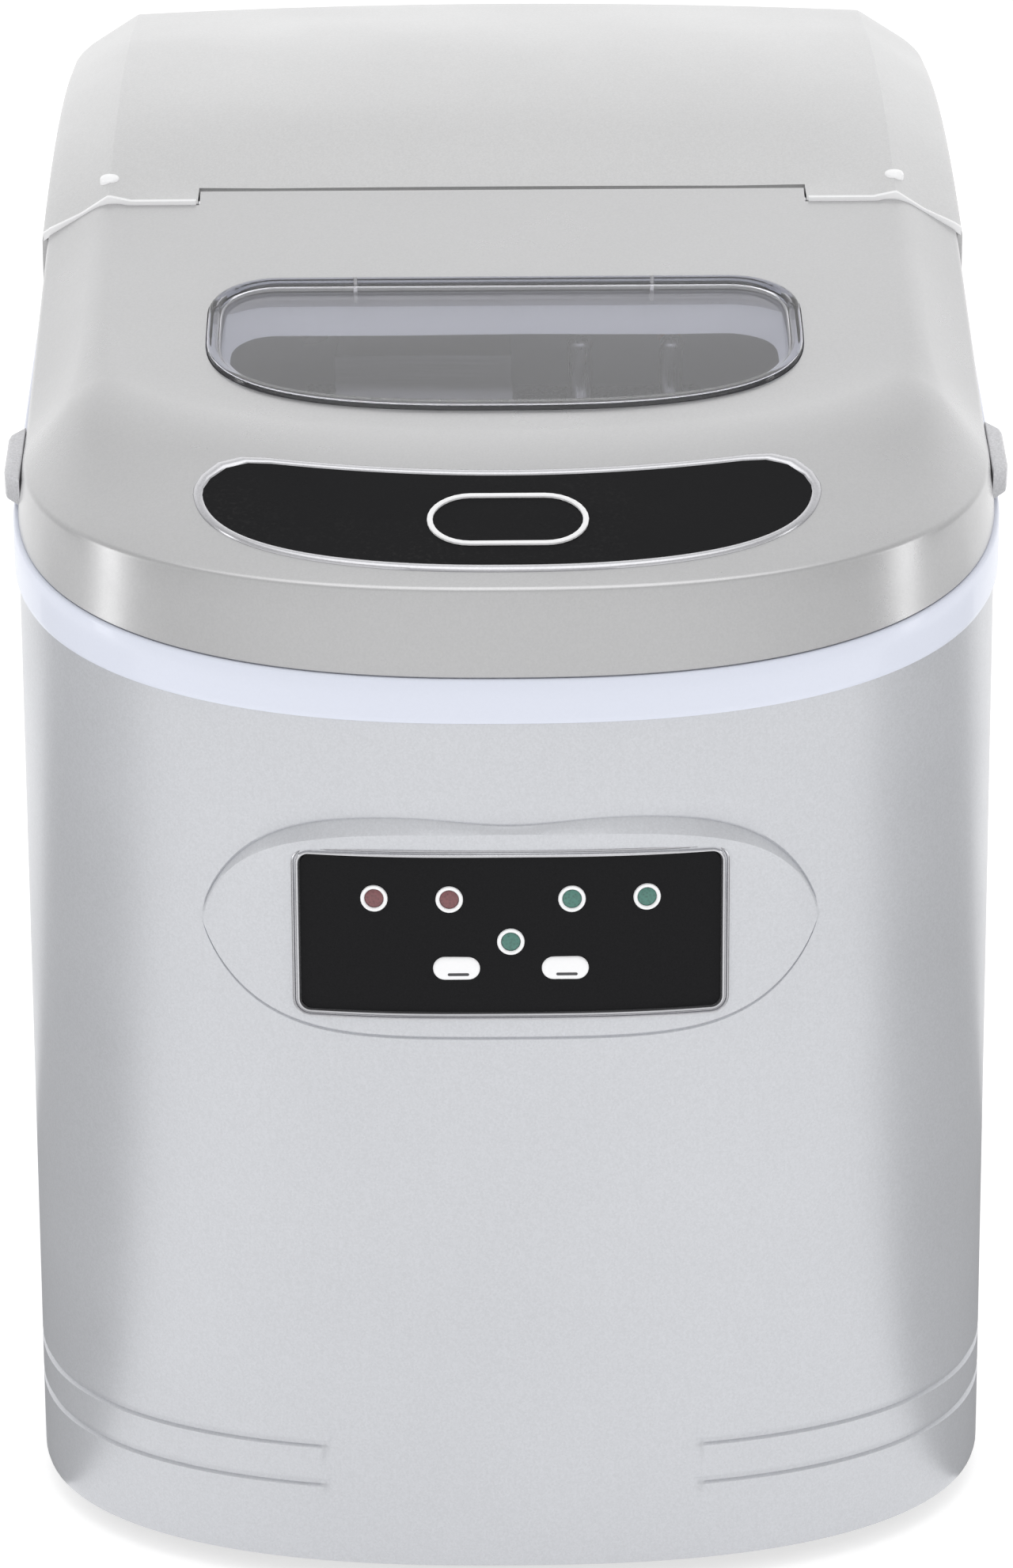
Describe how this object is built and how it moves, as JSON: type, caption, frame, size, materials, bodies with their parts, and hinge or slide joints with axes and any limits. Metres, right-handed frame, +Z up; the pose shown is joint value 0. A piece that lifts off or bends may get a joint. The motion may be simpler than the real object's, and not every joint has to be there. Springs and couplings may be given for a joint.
{
  "type": "ice maker",
  "caption": "Compact countertop ice maker with a bowed casing, a hinged lid with a window over the basket, and a sloping rear cover over the cold circuit.",
  "frame": {"origin": "on the surface it stands on, below the middle of the machine", "axes": "+Z up, -Y towards the user at the front with the control panel, +X to the right seen from the front"},
  "size_m": [0.2428, 0.344, 0.3277],
  "materials": {
    "silver_plastic": "silver metallic moulded plastic, satin",
    "grey_plastic": "grey moulded plastic",
    "bezel_silver": "bright silver painted trim",
    "gloss_black": "polished black",
    "white_plastic": "smooth white",
    "tray_plastic": "translucent moulded plastic",
    "clear_window": "smoke tinted clear plastic",
    "dark_plastic": "moulded",
    "foam": "bead foam",
    "red_lens": "tinted lens",
    "green_lens": "tinted lens",
    "foot_rubber": "moulded rubber",
    "hose_rubber": "clear silicone hose",
    "screw_steel": "zinc plated",
    "bright_steel": "polished",
    "tinned_metal": "tinned copper",
    "black_enamel": "black enamel",
    "fin_aluminium": "plain fins",
    "copper": "drawn copper",
    "circuit_board": "solder mask"
  },
  "bodies": {
    "casing": {"outer_shell": "silver_plastic", "base_pan": "dark_plastic", "feet": "foot_rubber", "foot_screws": "screw_steel", "rear_panel": "silver_plastic", "rear_panel_screws": "screw_steel", "rear_cover": "silver_plastic", "cover_screw_caps": "white_plastic", "tank_liner": "white_plastic", "foam_jacket": "foam", "hinge_pins": "bright_steel", "panel_bezel": "bezel_silver", "panel_face": "gloss_black", "led_rings": "white_plastic", "red_lenses": "red_lens", "green_lenses": "green_lens", "display_board": "circuit_board", "button_switches": "dark_plastic", "compressor": "black_enamel", "compressor_mounts": "foot_rubber", "compressor_relay": "dark_plastic", "condenser": "fin_aluminium", "fan_shroud": "dark_plastic", "fan_motor": "screw_steel", "filter_drier": "copper", "discharge_tube": "copper", "suction_tube": "copper", "capillary_tube": "copper", "evaporator": "tinned_metal", "evaporator_bracket": "screw_steel", "ice_chute": "white_plastic", "tray_motor": "screw_steel", "ice_full_sensors": "dark_plastic", "water_probe": "bright_steel", "water_pump": "dark_plastic", "pump_hose": "hose_rubber", "tray_hose": "hose_rubber", "control_board": "circuit_board", "transformer": "black_enamel", "cord_gland": "foot_rubber", "drain_spout": "white_plastic"},
    "lid": {"lid_shell": "silver_plastic", "lid_inner": "white_plastic", "lid_window": "clear_window", "badge_bezel": "bezel_silver", "badge_plate": "gloss_black", "badge_emblem": "white_plastic", "lid_grips": "grey_plastic", "lid_screws": "screw_steel"},
    "power_button": {"power_button": "white_plastic"},
    "select_button": {"select_button": "white_plastic"},
    "fan_blade": {"fan_blade": "dark_plastic"},
    "water_tray": {"water_tray": "tray_plastic"},
    "ice_rake": {"ice_rake": "tray_plastic"},
    "ice_basket": {"ice_basket": "tray_plastic"},
    "drain_cap": {"drain_cap": "grey_plastic"}
  },
  "joints": [
    {"name": "lid_hinge", "type": "hinge", "parent": "casing", "child": "lid", "pos_m": [0, 0.0204, 0.29925], "axis": [-1, 0, 0], "range_deg": [0, 85]},
    {"name": "power_press", "type": "slide", "parent": "casing", "child": "power_button", "axis": [0, 1, 0], "range_m": [0, 0.0012], "stiffness_N_per_m": 400, "springref_m": -0.001},
    {"name": "select_press", "type": "slide", "parent": "casing", "child": "select_button", "axis": [0, 1, 0], "range_m": [0, 0.0012], "stiffness_N_per_m": 400, "springref_m": -0.001},
    {"name": "fan_spin", "type": "hinge", "parent": "casing", "child": "fan_blade", "pos_m": [-0.072, 0.0992, 0.1], "axis": [1, 0, 0], "continuous": true},
    {"name": "tray_turn", "type": "hinge", "parent": "casing", "child": "water_tray", "pos_m": [0, -0.0058, 0.232], "axis": [1, 0, 0], "range_deg": [0, 90]},
    {"name": "rake_turn", "type": "hinge", "parent": "casing", "child": "ice_rake", "pos_m": [0, -0.0058, 0.232], "axis": [1, 0, 0], "range_deg": [-99, 0]},
    {"name": "basket_lift", "type": "slide", "parent": "casing", "child": "ice_basket", "axis": [0, 0, 1], "range_m": [0, 0.02]},
    {"name": "drain_turn", "type": "hinge", "parent": "casing", "child": "drain_cap", "pos_m": [0.118, -0.0508, 0.055], "axis": [1, 0, 0], "range_deg": [0, 90]}
  ],
  "couplings": [
    {"joint": "rake_turn", "follows": "tray_turn", "ratio": -1.1}
  ]
}
